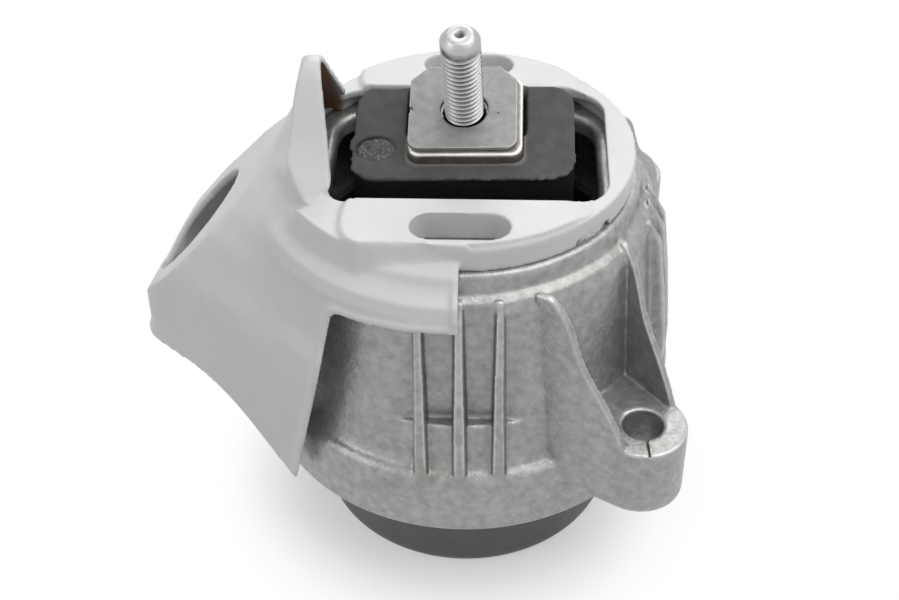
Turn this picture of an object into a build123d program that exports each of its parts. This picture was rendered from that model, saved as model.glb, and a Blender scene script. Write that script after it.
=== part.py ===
from build123d import *
from math import acos, atan2, cos, hypot, pi, radians, sin, tan
import os

# Hydraulic engine mount: a die-cast housing with three bolting lugs, a bonded rubber main spring
# around a core with a tilted stud, a fluid-channel pair with bellows and cup below, and a moulded
# heat shield clipped over the top and one side.
# Millimetres, +Z up along the housing axis. The origin is the centre of the cup's underside.
# +X is to the right and +Y away from the side with the three straight ribs.

# Heights of the main levels above the cup's underside
flange_bottom = 31.0
flange_height = 20.0
casting_top = 109.5
lug_top = 64.5
lug_thickness = 20.8
pad_top = 117.5

# Die-cast housing
flange_radius = 56.75
flange_chamfer = 0.8
flange_edge = 1.4
foot_edge_rise = 0.4
wall_radius_low = 52.8
wall_radius_high = 49.8
wall_foot_rise = 2.6
shoulder_height = 101.5
shoulder_edge = 1.4
neck_radius = 45.5
neck_height = 5.0
neck_draft = 0.5
neck_lip_round = 0.9
bore_radius = 46.0
roof_thickness = 5.5
throat_radius = 42.0
throat_height = 12.0
crimp_lip_height = 2.0
crimp_lip_radius = 47.0
seat_radius = 50.6
opening_half_x = 34.5
opening_half_y = 24.0
opening_corner = 9.0
opening_round = 2.2

# Straight ribs on the front and side of the housing
rib_spacing = 10.0
rib_width_low = 3.3
rib_width_high = 1.9
rib_radius_low = 56.3
rib_radius_mid = 54.9
rib_radius_high = 52.9
front_rib_radius_top = 48.6
front_rib_top = 103.8
side_rib_radius_top = 46.6
side_rib_top = 107.6
side_rib_spacing = 6.0
side_rib_centre = -8.0
rib_root_radius = 47.4
rib_bends = (0.23, 0.52, 0.81, 0.93)
rib_top_step = 2.4
rib_foot = 2.0
flat_distance = 48.4
ledge_height = 65.5
flat_half_width = 21.0

# Bolting lugs: angle from +X and reach from the housing axis
lug_reach = 67.4
long_lug_reach = 76.5
hood_lug_reach = 74.0
front_lug_angle = -46.4
front_lug_skew = 6.0
rear_lug_angle = 52.3
hood_angle = 170.0
lug_bolt_radius = 5.25
lug_boss_radius = 11.5
fin_thickness = 2.2
fin_root_half_width = 16.0
fin_root = 44.0
fin_root_height = 104.6
fin_tip_reach = 2.1
fin_root_land = 3.5
FIN_EDGE = [  # run out from the root, share of a longer lug's extra reach, drop from the root
    (8.0, 1.0, 5.0),
    (13.0, 1.4, 18.0),
]
fin_foot_run = 5.8
fin_foot_rise = 14.6

# Core, stud and stop plate share one leaning axis
stud_tilt = 16.0
stud_lean = 1.5
plate_top = 126.8
stud_radius = 5.0
stud_shank_radius = 5.3
stud_reach = 27.0
stud_grip = 14.0
stud_tip_radius = 3.3
stud_tip_length = 1.9
stud_dimple_radius = 1.3
plate_hole_radius = 6.0
plate_thickness = 1.3
plate_left = 14.0
plate_right = 13.4
plate_front = 12.6
plate_back = 14.3
plate_front_corner = 3.0
plate_back_chamfer = 4.5
plate_notch = 1.0
head_step = 1.4
head_length = 33.0
core_flange_radius = 29.0
core_flange_top = 95.0
core_flange_height = 5.0
core_cone_top_radius = 22.0
core_cone_bottom_radius = 12.0
core_bottom = 60.0

# Rubber stop buffer around the core's head
buffer_half_width = 28.0
buffer_front = 16.2
buffer_back = 12.6
buffer_corner = 6.0
buffer_drop = 4.9

# Bonded main spring and its steel ring
ring_wall = 2.5
ring_flange_thickness = 2.0
spring_ring_top = 80.0
spring_top_edge = 76.0
spring_bottom_edge = 53.0

# Fluid channel plates, membrane, bellows and cup
cup_radius = 42.2
cup_wall = 1.6
cup_corner = 4.0
bead_height = 2.0
bellows_ring_height = 2.0
bellows_ring_width = 4.6
bellows_wall = 1.6
bellows_roll_radius = 34.5
bellows_roll_depth = 22.0
bellows_inner_radius = 22.0
lower_plate_height = 4.0
upper_plate_height = 5.4
upper_plate_recess = 2.0
channel_radius = 40.0
channel_width = 6.0
channel_depth = 2.6
channel_gap_angle = 40.0
membrane_radius = 20.7
membrane_bead = 2.4
membrane_web = 1.4
membrane_bead_width = 2.0
port_circle = 13.0
port_radius = 2.6
port_count = 8

# Heat shield: a moulded cover with a top ring, a skirt, a flap and a hood over one lug
shield_wall = 2.2
shield_ring_radius = 44.0
shield_ring_drop = 1.5
shield_opening_half_x = 36.4
shield_opening_half_y = 25.2
shield_opening_corner = 10.0
shield_bottom = 35.0
window_corner = 3.0
skirt_edge_low = 44.8
skirt_edge_high = 30.8
band_bottom_left = 99.0
band_bottom_right = 100.5
pad_left = 26.0
pad_right = 32.0
pad_rim = 0.8
slot_length = 24.2
slot_width = 10.1
slot_offset = 36.15
slot_wall = 1.6
hood_slope = 49.0
hood_hole_radius = 17.4
hood_hole_height = 80.6
hood_hole_reach = 76.5
hood_nose_reach = 88.2
hood_nose_round = 9.0
hood_nose_bottom = 53.0
hood_back = 30.0
hood_top_round = 14.0
door_reach = 32.0
door_lean = 7.0
hollow_past_door = 6.0
seat_notch_height = 1.6
lip_height = 0.8
lip_width = 1.6
level_slant = 0.6

# Levels up the shield: skirt radius, height, reach of the hood's nose and its half width
SHIELD_LEVELS = [
    (61.0, 30.0, 88.2, 23.0),
    (61.0, 78.0, 88.2, 23.0),
    (60.2, 83.0, 87.0, 22.0),
    (57.6, 88.0, 84.0, 20.5),
    (56.2, 96.0, 77.5, 18.5),
    (55.6, 103.0, 67.5, 15.5),
    (54.2, 106.4, 61.5, 13.5),
    (48.5, 111.4, 52.0, 11.0),
    (44.0, 112.6, 50.0, 10.0),
]

# Doorway arch of the hood seen along X, as Y and height from its near foot to its far foot
ARCH = [
    (-28.5, 108.0),
    (-25.5, 114.5),
    (-19.5, 121.5),
    (-13.5, 129.5),
    (-8.5, 137.5),
    (-2.5, 142.8),
    (3.5, 139.5),
    (8.0, 134.0),
    (12.0, 129.5),
    (18.0, 122.5),
    (23.5, 116.0),
    (27.0, 108.0),
]

# Back of the arch seen along Y, as X and height from its foot to its crest
COLLAR = [
    (-50.5, 107.0),
    (-49.0, 112.5),
    (-46.0, 115.5),
    (-44.2, 119.5),
    (-43.0, 125.0),
    (-42.2, 131.0),
    (-41.0, 138.0),
    (-39.5, 141.5),
    (-37.0, 143.3),
    (-30.0, 144.0),
    (-20.0, 144.0),
]

# Plan of the arch's foot, as X and Y round its back
COLLAR_PLAN = [
    (-20.0, -30.0),
    (-33.0, -28.5),
    (-40.0, -23.5),
    (-46.0, -12.0),
    (-50.5, 0.0),
    (-50.5, 8.0),
    (-47.0, 20.0),
    (-40.5, 28.0),
    (-33.0, 30.5),
    (-20.0, 31.0),
]

# Levels that follow from the stack of parts
flange_top = flange_bottom + flange_height
cup_flange_level = flange_bottom + crimp_lip_height
bead_level = cup_flange_level + cup_wall
bellows_ring_level = bead_level + bead_height
lower_plate_level = bellows_ring_level + bellows_ring_height
upper_plate_level = lower_plate_level + lower_plate_height
spring_ring_level = upper_plate_level + upper_plate_height
bore_level = spring_ring_level + ring_flange_thickness
shield_ring_top = pad_top - shield_ring_drop

# The leaning frame of the stud: its origin is where the stud leaves the plate
stud_axis = Plane(Location((0, 0, plate_top), (stud_tilt, -stud_lean, 0)))


def profile(points):
    """A closed face in the XZ plane from a list of corner points."""
    return make_face(Polyline([(x, 0, z) for x, z in points], close=True))


def turned(points):
    """A body of revolution from a half section given as radius and height."""
    return revolve(profile(points), Axis.Z, 360)


def tube(outer, inner, low, high):
    """A plain ring between two radii and two heights."""
    ring = Pos(0, 0, low) * extrude(Circle(outer), high - low)
    return ring - Pos(0, 0, low) * extrude(Circle(inner), high - low)


def disc(radius, low, high):
    """A plain disc between two heights."""
    return Pos(0, 0, low) * extrude(Circle(radius), high - low)


def block(x0, x1, y0, y1, z0, z1):
    """A box given by its six limits."""
    return Pos((x0 + x1) / 2, (y0 + y1) / 2, (z0 + z1) / 2) * Box(x1 - x0, y1 - y0, z1 - z0)


def housing_outline():
    """Outer half section of the casting without ribs and lugs."""
    return [
        (0, flange_bottom),
        (flange_radius - flange_chamfer, flange_bottom),
        (flange_radius, flange_bottom + flange_chamfer),
        (flange_radius, flange_top - flange_edge),
        (flange_radius - flange_edge, flange_top),
        (wall_radius_low + flange_edge, flange_top + foot_edge_rise),
        (wall_radius_low, flange_top + wall_foot_rise),
        (wall_radius_high, shoulder_height - shoulder_edge),
        (wall_radius_high - shoulder_edge, shoulder_height + shoulder_edge),
        (neck_radius + neck_draft, casting_top - neck_height),
        (neck_radius, casting_top - neck_lip_round),
        (neck_radius - neck_lip_round, casting_top),
        (0, casting_top),
    ]


def housing_cavity():
    """Everything hollow inside the casting below its roof."""
    roof = casting_top - roof_thickness
    return turned([
        (0, flange_bottom - 1),
        (crimp_lip_radius, flange_bottom - 1),
        (crimp_lip_radius, cup_flange_level),
        (seat_radius, cup_flange_level),
        (seat_radius, bore_level),
        (bore_radius, bore_level),
        (bore_radius, roof - throat_height),
        (throat_radius, roof),
        (0, roof),
    ])


def rib_envelope(top_radius, top):
    """Turned shape that the ribs' outer edges follow up to their top."""
    low = flange_top - rib_foot
    bends = [low + (top - low) * part for part in rib_bends]
    return turned([
        (0, low),
        (rib_radius_low, low),
        (rib_radius_low, bends[0]),
        (rib_radius_mid, bends[1]),
        (rib_radius_high, bends[2]),
        (top_radius + rib_top_step, bends[3]),
        (top_radius, top),
        (0, top),
    ])


def rib_plate(top):
    """A drafted upright plate that reaches from the axis side out along -Y."""
    low = flange_top - rib_foot
    section = profile([
        (-rib_width_low / 2, low),
        (rib_width_low / 2, low),
        (rib_width_high / 2, top),
        (-rib_width_high / 2, top),
    ])
    depth = rib_radius_low - rib_root_radius
    return Pos(0, -rib_root_radius, 0) * extrude(section, amount=depth + 1, dir=(0, -1, 0))


def ribs():
    """Three ribs on the front and three closer ones on the right side."""
    front = rib_envelope(front_rib_radius_top, front_rib_top)
    side = rib_envelope(side_rib_radius_top, side_rib_top)
    made = []
    for i in (-1, 0, 1):
        made.append(Pos(i * rib_spacing, 0, 0) * rib_plate(front_rib_top) & front)
        place = Pos(0, side_rib_centre + i * side_rib_spacing, 0) * Rot(0, 0, 90)
        made.append(place * rib_plate(side_rib_top) & side)
    return made


def lug_web(reach, inset):
    """Plan of one lug's web: root points joined to the boss by tangent lines."""
    root = fin_root_half_width - inset
    boss = lug_boss_radius - inset
    span = reach - fin_root
    touch = pi - atan2(root, span) - acos(boss / hypot(span, root))
    touch_x = reach + boss * cos(touch)
    touch_y = boss * sin(touch)
    return make_face(Polyline([
        (fin_root, -root),
        (touch_x, -touch_y),
        (touch_x, touch_y),
        (fin_root, root),
    ], close=True))


def lug(reach):
    """One lug along +X: a bored boss, a web and two curved fins up the wall."""
    low = lug_top - lug_thickness
    far = (reach - lug_reach) / 2
    boss = Pos(reach, 0, low) * extrude(Circle(lug_boss_radius), lug_thickness)
    floor = Pos(0, 0, low) * extrude(lug_web(reach, 0), lug_thickness)
    fins = Pos(0, 0, low) * extrude(lug_web(reach, 0), fin_root_height - low)
    gap = Pos(0, 0, lug_top) * extrude(lug_web(reach, fin_thickness), fin_root_height)
    gap += Pos(-1, 0, 0) * gap + Pos(reach, 0, lug_top) * extrude(
        Circle(lug_boss_radius - fin_thickness), fin_root_height
    )
    fins -= gap
    tip = reach + fin_tip_reach
    bends = [(fin_root + run + far * share, 0, fin_root_height - drop) for run, share, drop in FIN_EDGE]
    edge = Spline([
        (fin_root + fin_root_land, 0, fin_root_height),
        *bends,
        (reach - fin_foot_run, 0, lug_top + fin_foot_rise),
        (tip, 0, lug_top),
    ])
    low_edges = Polyline([
        (tip, 0, lug_top),
        (tip, 0, low),
        (fin_root, 0, low),
        (fin_root, 0, fin_root_height),
        (fin_root + fin_root_land, 0, fin_root_height),
    ])
    envelope = extrude(make_face(edge + low_edges), amount=fin_root_half_width + 2, both=True)
    return boss + floor + (fins & envelope)


def lug_hole(reach):
    """The bolt hole of one lug."""
    hole = extrude(Circle(lug_bolt_radius), lug_thickness + 2)
    return Pos(reach, 0, lug_top - lug_thickness - 1) * hole


LUGS = [
    (front_lug_angle, lug_reach, front_lug_skew),
    (rear_lug_angle, long_lug_reach, 0),
    (hood_angle, hood_lug_reach, 0),
]


def die_cast_housing():
    """Casting with ribs, ledge, lugs, cavity, roof opening and bolt holes."""
    body = turned(housing_outline())
    shoulder = shoulder_height + 1
    body -= block(
        -flat_half_width, flat_half_width, -60, -flat_distance, ledge_height, shoulder
    )
    for rib in ribs():
        body += rib
    for angle, reach, skew in LUGS:
        place = Rot(0, 0, angle) * Pos(reach, 0, 0) * Rot(0, 0, skew) * Pos(-reach, 0, 0)
        body += place * lug(reach)
    body -= housing_cavity()
    mouth = RectangleRounded(opening_half_x * 2, opening_half_y * 2, opening_corner)
    body -= Pos(0, 0, casting_top - roof_thickness - 1) * extrude(mouth, roof_thickness + 2)
    for angle, reach, skew in LUGS:
        body -= Rot(0, 0, angle) * lug_hole(reach)
    mouth_edges = [
        edge for edge in body.edges()
        if abs(edge.center().Z - casting_top) < 0.01
        and abs(edge.center().X) <= opening_half_x + 0.01
        and abs(edge.center().Y) <= opening_half_y + 0.01
    ]
    return fillet(mouth_edges, opening_round)


def plate_outline(left, right, front, back):
    """Plan of the stop plate: rounded front corners and chamfered back ones."""
    face = Pos((right - left) / 2, (back - front) / 2) * Rectangle(left + right, front + back)
    near = face.vertices().filter_by(lambda v: v.Y < 0)
    face = fillet(near, plate_front_corner)
    far = [v for v in face.vertices() if v.Y > back - 0.01]
    return chamfer(far, plate_back_chamfer)


def stop_plate():
    """Pressed plate on the core's head, with a clear hole round the stud and a side notch."""
    outline = plate_outline(plate_left, plate_right, plate_front, plate_back)
    outline -= Circle(plate_hole_radius)
    outline -= Pos(-plate_left, 0) * Circle(plate_notch)
    plate = extrude(outline, -plate_thickness)
    return stud_axis * plate


def core_mass():
    """The core before its stud hole: a tilted rectangular head on a flange and a cone."""
    outline = plate_outline(
        plate_left, plate_right + head_step, plate_front + head_step, plate_back
    )
    head = stud_axis * Pos(0, 0, -plate_thickness) * extrude(outline, -head_length)
    head &= disc(core_flange_radius + 20, core_flange_top - 1, plate_top + 20)
    cone = turned([
        (0, core_bottom),
        (core_cone_bottom_radius, core_bottom),
        (core_cone_top_radius, core_flange_top - core_flange_height),
        (core_flange_radius, core_flange_top - core_flange_height),
        (core_flange_radius, core_flange_top),
        (0, core_flange_top),
    ])
    return head + cone


def inner_core():
    """Cast core with the hole that grips the stud."""
    socket = Pos(0, 0, -plate_thickness - stud_grip) * extrude(Circle(stud_shank_radius), 60)
    return core_mass() - stud_axis * socket


def engine_stud():
    """Stud with a thicker shank that the core grips, and a chamfered and dimpled end."""
    grip = -plate_thickness - stud_grip
    stud = turned([
        (0, grip),
        (stud_shank_radius, grip),
        (stud_shank_radius, 0),
        (stud_radius, 0),
        (stud_radius, stud_reach - stud_tip_length),
        (stud_tip_radius, stud_reach),
        (stud_dimple_radius, stud_reach),
        (0, stud_reach - stud_dimple_radius / 2),
    ])
    return stud_axis * stud


def rubber_buffer():
    """Moulded block round the core's head, cut level with the leaning plate."""
    depth = buffer_front + buffer_back
    outline = Pos(0, (buffer_back - buffer_front) / 2) * RectangleRounded(
        buffer_half_width * 2, depth, buffer_corner
    )
    blank = Pos(0, 0, core_flange_top) * extrude(outline, 60)
    above = stud_axis * Pos(0, 0, 50 - buffer_drop) * Box(140, 140, 100)
    return blank - above - core_mass()


def spring_ring():
    """Steel outer ring that the main spring is bonded to, with a clamping flange."""
    return turned([
        (bore_radius - ring_wall, spring_ring_level),
        (seat_radius, spring_ring_level),
        (seat_radius, bore_level),
        (bore_radius, bore_level),
        (bore_radius, spring_ring_top),
        (bore_radius - ring_wall, spring_ring_top),
    ])


def main_spring():
    """Thick rubber cone between the core's cone and the steel ring."""
    outer = bore_radius - ring_wall
    bond_top = core_flange_top - core_flange_height
    rise = (core_cone_top_radius - core_cone_bottom_radius) / (bond_top - core_bottom)
    bond_low = core_bottom + 3
    return turned([
        (core_cone_bottom_radius + rise * (bond_low - core_bottom), bond_low),
        (core_cone_top_radius, bond_top),
        (core_cone_top_radius + 5, bond_top - 1.5),
        (core_cone_top_radius + 14, spring_top_edge + 2),
        (outer, spring_top_edge),
        (outer, spring_bottom_edge),
        (outer - 6, spring_bottom_edge),
        (core_cone_bottom_radius + 12, bond_low + 2),
    ])


def port_holes(low, high):
    """A circle of flow ports."""
    port = Pos(port_circle, 0, low) * extrude(Circle(port_radius), high - low)
    return [Rot(0, 0, i * 360 / port_count) * port for i in range(port_count)]


def lower_channel_plate():
    """Lower plate with the open fluid channel and the flow ports."""
    low = lower_plate_level
    plate = disc(seat_radius, low, upper_plate_level)
    half = channel_width / 2
    section = profile([
        (channel_radius - half, upper_plate_level - channel_depth),
        (channel_radius + half, upper_plate_level - channel_depth),
        (channel_radius + half, upper_plate_level + 1),
        (channel_radius - half, upper_plate_level + 1),
    ])
    plate -= revolve(section, Axis.Z, 360 - channel_gap_angle)
    drain = Pos(channel_radius, 0, low - 1) * extrude(Circle(half * 0.8), lower_plate_height)
    plate -= Rot(0, 0, 8) * drain
    for port in port_holes(low - 1, upper_plate_level + 1):
        plate -= port
    return plate


def upper_channel_plate():
    """Upper plate that covers the channel and holds the membrane from above."""
    low = upper_plate_level
    inner = bore_radius - ring_wall
    plate = disc(seat_radius, low, spring_ring_level)
    plate -= disc(inner - 0.5, spring_ring_level - upper_plate_recess, spring_ring_level + 1)
    plate -= disc(membrane_radius, low - 1, low + membrane_bead)
    inlet = Pos(channel_radius, 0, low - 1) * extrude(Circle(channel_width * 0.4), 20)
    plate -= Rot(0, 0, 352 - channel_gap_angle) * inlet
    for port in port_holes(low, spring_ring_level + 1):
        plate -= port
    return plate


def decoupler_membrane():
    """Rubber disc with a thick rim, trapped between the channel plates."""
    low = upper_plate_level
    middle = low + membrane_bead / 2
    web = disc(membrane_radius, middle - membrane_web / 2, middle + membrane_web / 2)
    rim = tube(membrane_radius, membrane_radius - membrane_bead_width, low, low + membrane_bead)
    return web + rim


def bellows_ring():
    """Steel ring that clamps the bellows' rim."""
    inner = seat_radius - bellows_ring_width
    return tube(seat_radius, inner, bellows_ring_level, lower_plate_level)


def rolling_bellows():
    """Thin rubber bellows: a clamped rim, a long roll and a raised middle."""
    rim_inner = seat_radius - bellows_ring_width
    wall = bellows_wall
    top = bellows_ring_level
    roll_low = bead_level - bellows_roll_depth
    outer = bellows_roll_radius
    inner = bellows_inner_radius
    middle = top - 6
    return turned([
        (seat_radius, bead_level),
        (seat_radius, top),
        (rim_inner - 2, top),
        (outer + 0.5, top),
        (outer - wall, top - 2),
        (outer - wall - 1, roll_low + 3),
        ((outer + inner) / 2, roll_low + wall),
        (inner + 1, roll_low + 4),
        (inner, middle - 2),
        (inner - 4, middle),
        (0, middle),
        (0, middle - wall),
        (inner - 4.6, middle - wall),
        (inner - wall, middle - 3),
        (inner - wall + 1, roll_low + 3),
        ((outer + inner) / 2, roll_low),
        (outer - 1, roll_low + 2.4),
        (outer, bead_level - 0.8),
        (outer + 1, bead_level),
    ])


def base_cup():
    """Pressed steel cup with a clamped flange and a flat bottom to stand on."""
    outer = turned([
        (0, 0),
        (cup_radius, 0),
        (cup_radius, bead_level),
        (0, bead_level),
    ])
    inner_radius = cup_radius - cup_wall
    inner = disc(inner_radius, cup_wall, bead_level + 1)
    outer = fillet(outer.edges().group_by(Axis.Z)[0], cup_corner)
    inner = fillet(inner.edges().group_by(Axis.Z)[0], cup_corner - cup_wall)
    flange = tube(seat_radius, cup_radius - cup_wall / 2, cup_flange_level, bead_level)
    return outer + flange - inner


def cover_plan(level, inset):
    """Plan of skirt and hood: the skirt's circle joined to the nose by tangent lines."""
    radius, height, nose, half_width = level
    radius -= inset
    height -= inset * level_slant
    corner = hood_nose_round - inset
    corner_x = nose - hood_nose_round
    corner_y = half_width - hood_nose_round
    reach = hypot(corner_x, corner_y)
    normal = atan2(corner_y, corner_x) + acos((radius - corner) / reach)

    def on_skirt(angle):
        return (radius * cos(angle), radius * sin(angle))

    def on_nose(angle, side):
        return (corner_x + corner * cos(angle), side * (corner_y + corner * sin(angle)))

    edges = (
        ThreePointArc(on_skirt(normal), (-radius, 0), on_skirt(-normal))
        + Line(on_skirt(-normal), on_nose(normal, -1))
        + ThreePointArc(on_nose(normal, -1), on_nose(normal / 2, -1), on_nose(0, -1))
        + Line(on_nose(0, -1), on_nose(0, 1))
        + ThreePointArc(on_nose(0, 1), on_nose(normal / 2, 1), on_nose(normal, 1))
        + Line(on_nose(normal, 1), on_skirt(normal))
    )
    return Rot(0, 0, hood_angle) * Pos(0, 0, height) * make_face(edges)


def hood_side(inset):
    """Side view of the hood along its own axis: nose and ramp with the hole."""
    nose = hood_nose_reach - inset
    slope = tan(radians(hood_slope))
    drop = inset / cos(radians(hood_slope))
    ramp_nose = hood_hole_height - slope * (nose - hood_hole_reach) - drop
    ramp_back = hood_hole_height + slope * (hood_hole_reach - hood_back) - drop
    outline = profile([
        (-80, shield_bottom - 10),
        (nose, shield_bottom - 10),
        (nose, ramp_nose),
        (hood_back, ramp_back),
        (-80, ramp_back),
    ])
    rounded = [v for v in outline.vertices() if abs(v.X - nose) < 0.01 and v.Z > shield_bottom]
    outline = fillet(rounded, hood_top_round - inset)
    return Rot(0, 0, hood_angle) * extrude(outline, amount=100, both=True)


def moved_in(points, inset):
    """The points of an open curve, each moved to the curve's right by inset."""
    moved = []
    for i, (x, y) in enumerate(points):
        before_x, before_y = points[max(i - 1, 0)]
        after_x, after_y = points[min(i + 1, len(points) - 1)]
        run, rise = after_x - before_x, after_y - before_y
        size = hypot(run, rise)
        moved.append((x + inset * rise / size, y - inset * run / size))
    return moved


def curved_face(points):
    """A face inside a smooth curve through the points and lines that close it."""
    return make_face(Spline(points) + Line(points[-1], points[0]))


def collar_side(inset):
    """Side view of the arch: its curved back, its crest and a straight foot."""
    points = moved_in(COLLAR, inset)
    foot = points[0][1]
    close = Polyline([points[-1], (points[-1][0], foot), points[0]])
    return make_face(Spline(points) + close)


def hood_arch(inset, reach):
    """The arched roof above the ring with its curved back, cut off at the doorway."""
    arch = extrude(Plane.YZ * curved_face(moved_in(ARCH, inset)), amount=60, dir=(-1, 0, 0))
    arch &= extrude(Plane.XZ * collar_side(inset), amount=60, both=True)
    arch &= Pos(0, 0, 100) * extrude(curved_face(moved_in(COLLAR_PLAN, inset)), 60)
    door = Pos(-reach, 0, shield_ring_top) * Rot(0, -door_lean, 0) * Pos(-100, 0, 0)
    return arch & door * Box(200, 200, 200)


def shield_mass(inset, reach):
    """Whole shield as a full block, moved inwards by inset."""
    body = disc(shield_ring_radius - inset, casting_top - inset, shield_ring_top - inset)
    for low, high in zip(SHIELD_LEVELS, SHIELD_LEVELS[1:]):
        body += loft([cover_plan(low, inset), cover_plan(high, inset)], ruled=True)
    return (body & hood_side(inset)) + hood_arch(inset, reach)


def shield_trim(margin):
    """Front view outline that the skirt, flap and hood are trimmed to."""
    low = shield_bottom + margin
    side = [
        (-skirt_edge_low - margin, low),
        (-skirt_edge_high - margin, band_bottom_left + margin),
        (0 - margin, band_bottom_right + margin),
        (0 - margin, casting_top + margin),
        (0 - margin, 160),
        (-110, 160),
        (-110, hood_nose_bottom + margin),
        (-78.0, hood_nose_bottom + margin),
    ]
    under = Spline([
        side[-1],
        (-69.0, hood_nose_bottom - 1.0 + margin),
        (-61.5, hood_nose_bottom - 4.5 + margin),
        (-54.0, 42.5 + margin),
        side[0],
    ])
    outline = make_face(Polyline(side) + under)
    corner = [v for v in outline.vertices() if abs(v.X + skirt_edge_high + margin) < 0.01]
    outline = fillet(corner, window_corner)
    return extrude(Plane.XZ * outline, amount=110, both=True)


def shield_ring():
    """Top ring of the shield that sits on the casting's roof, with pads and slot walls."""
    ring = disc(shield_ring_radius, casting_top, shield_ring_top)
    pads = disc(shield_ring_radius - pad_rim, shield_ring_top, pad_top)
    pads &= block(-pad_left, pad_right, -60, 60, casting_top, pad_top)
    ring += pads
    ring -= disc(shield_ring_radius - shield_wall, casting_top - 1, shield_ring_top - shield_wall)
    wall = SlotOverall(slot_length + 2 * slot_wall, slot_width + 2 * slot_wall)
    for side in (-1, 1):
        collar = extrude(wall, shield_ring_top - casting_top)
        collar = Pos(0, side * slot_offset, casting_top) * collar
        ring += collar & disc(shield_ring_radius - 0.5, casting_top, shield_ring_top)
    notch = block(0, 12, -50, -30, casting_top - 1, casting_top + seat_notch_height)
    return ring - Rot(0, 0, 40) * notch


def heat_shield():
    """Moulded shield: ring, skirt with lips, lower flap and hood with its bolt hole."""
    hollow = shield_mass(shield_wall, door_reach - hollow_past_door)
    shell = (shield_mass(0, door_reach) - hollow) & shield_trim(0)
    lip = shield_mass(-lip_height, door_reach) - hollow
    shell += lip & (shield_trim(0) - shield_trim(lip_width)) & block(
        -110, 0, -110, 110, 0, casting_top + 2
    )
    inside = hood_arch(shield_wall, door_reach - hollow_past_door)
    shield = shell + (shield_ring() - inside)
    mouth = RectangleRounded(
        shield_opening_half_x * 2, shield_opening_half_y * 2, shield_opening_corner
    )
    mouth_cut = Pos(0, 0, casting_top - 5) * extrude(mouth, pad_top - casting_top + 5.5)
    shield -= mouth_cut
    slot = SlotOverall(slot_length, slot_width)
    for side in (-1, 1):
        shield -= Pos(0, side * slot_offset, casting_top - 1) * extrude(slot, 20)
    place = Rot(0, 0, hood_angle) * Pos(hood_hole_reach, 0, hood_hole_height)
    hole = place * Rot(0, hood_slope, 0) * Cylinder(hood_hole_radius, 24)
    return shield - hole


NODES = {
    "die_cast_housing": die_cast_housing,
    "heat_shield": heat_shield,
    "engine_stud": engine_stud,
    "stop_plate": stop_plate,
    "inner_core": inner_core,
    "rubber_buffer": rubber_buffer,
    "main_spring": main_spring,
    "spring_ring": spring_ring,
    "upper_channel_plate": upper_channel_plate,
    "lower_channel_plate": lower_channel_plate,
    "decoupler_membrane": decoupler_membrane,
    "bellows_ring": bellows_ring,
    "rolling_bellows": rolling_bellows,
    "base_cup": base_cup,
}

os.makedirs("parts", exist_ok=True)
for node, make in NODES.items():
    export_step(make(), "parts/" + node + ".step")
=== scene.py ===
"""Engine mount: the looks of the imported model, laid out as an add-on with one operator for each piece."""

import math

import bmesh
import bpy
import numpy as np
from bpy.props import FloatProperty, FloatVectorProperty, IntProperty, PointerProperty
from mathutils import Matrix, Vector, noise


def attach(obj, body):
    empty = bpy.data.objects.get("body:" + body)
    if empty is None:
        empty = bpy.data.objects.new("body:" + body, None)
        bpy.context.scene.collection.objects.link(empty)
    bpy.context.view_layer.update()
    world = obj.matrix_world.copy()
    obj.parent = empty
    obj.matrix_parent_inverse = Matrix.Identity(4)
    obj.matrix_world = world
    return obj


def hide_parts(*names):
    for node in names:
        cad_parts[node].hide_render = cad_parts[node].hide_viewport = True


bl_info = {
    "name": "Engine mount",
    "version": (1, 0, 0),
    "blender": (4, 5, 0),
    "location": "View3D > Sidebar > Engine mount",
    "description": "Dresses the packed engine mount with its moulded, cast and rubber surfaces",
    "category": "Object",
}

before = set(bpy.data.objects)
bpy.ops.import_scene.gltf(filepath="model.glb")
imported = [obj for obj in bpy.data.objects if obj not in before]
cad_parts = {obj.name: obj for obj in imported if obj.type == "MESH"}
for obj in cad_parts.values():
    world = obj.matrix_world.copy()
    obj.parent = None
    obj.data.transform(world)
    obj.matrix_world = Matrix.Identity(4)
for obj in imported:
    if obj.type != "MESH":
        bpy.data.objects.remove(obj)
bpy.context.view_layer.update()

MM = 0.001
WELD = 0.001 * MM

# Most triangles of a large, a middling and a small piece
LARGE_PIECE, MIDDLE_PIECE, SMALL_PIECE = 185000, 90000, 60000

# Size of the even faces that the plate, the core and the cup are rounded on
PLATE_GRID, CORE_GRID, CUP_GRID = 0.16, 0.4, 0.6

# The leaning axis of the stud, plate and core: where the stud leaves the plate, and its two tilts
STUD_FOOT = 126.8
TILT_TO_FRONT = math.radians(16.0)
TILT_TO_LEFT = math.radians(1.5)
STUD_FRAME = (
    Matrix.Translation(Vector((0, 0, STUD_FOOT)) * MM)
    @ Matrix.Rotation(TILT_TO_FRONT, 4, "X")
    @ Matrix.Rotation(-TILT_TO_LEFT, 4, "Y")
)

# The stud along that axis: its thread runs from below the plate to the plain end band
STUD_RADIUS = 5.0
STUD_REACH = 27.0
STUD_CHAMFER = 1.9
STUD_TIP_RADIUS = 3.3
THREAD_START = -1.2
THREAD_STOP = STUD_REACH - 3.7
THREAD_RUN_OUT = 1.1
SHANK_RADIUS = STUD_RADIUS - 0.9
STUD_STEPS = 72

# The dimple in the stud's tip, as rings of radius, depth and painted shade
DIMPLE = ((1.45, 0.0, 0.0), (1.2, 0.12, 0.5), (0.7, 0.5, 0.9), (0.1, 0.62, 1.0))

# The plate's pit, a spot of painted shade, and the distance from the stud beyond which its edges are
# painted lighter, as rubbed wear and painted highlight
PIT_X, PIT_Y = 8.6, -1.4
EDGES_LIGHTENED_FROM = (8.0, 9.5)

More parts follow.
